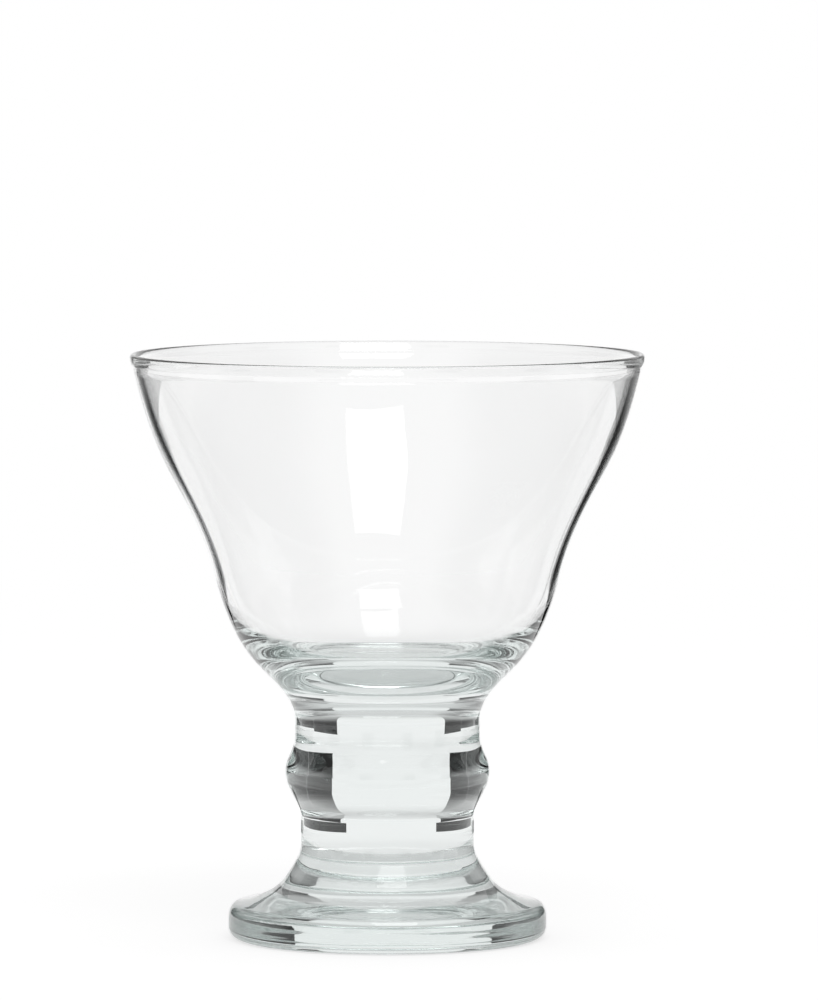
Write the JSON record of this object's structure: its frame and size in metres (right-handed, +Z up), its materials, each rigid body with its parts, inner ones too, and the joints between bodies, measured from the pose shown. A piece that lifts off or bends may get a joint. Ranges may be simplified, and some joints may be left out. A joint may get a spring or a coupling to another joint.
{
  "type": "ice cream bowl",
  "caption": "Footed clear glass bowl for ice cream: a waisted, flaring bowl with a small turned-out lip on a short solid knopped stem and a round spreading foot.",
  "frame": {"origin": "centre of the circle that the foot rests on, in the plane of the surface it stands on", "axes": "+Z up along the axis of revolution, towards the mouth of the bowl; X and Y are free, because the object is round"},
  "size_m": [0.1016, 0.1016, 0.1158],
  "materials": {
    "clear_glass": "clear soda-lime glass, pressed and fire-polished, with a faint green cast where it is thick"
  },
  "bodies": {
    "root": {"bowl": "clear_glass", "stem": "clear_glass", "foot": "clear_glass"}
  },
  "joints": []
}
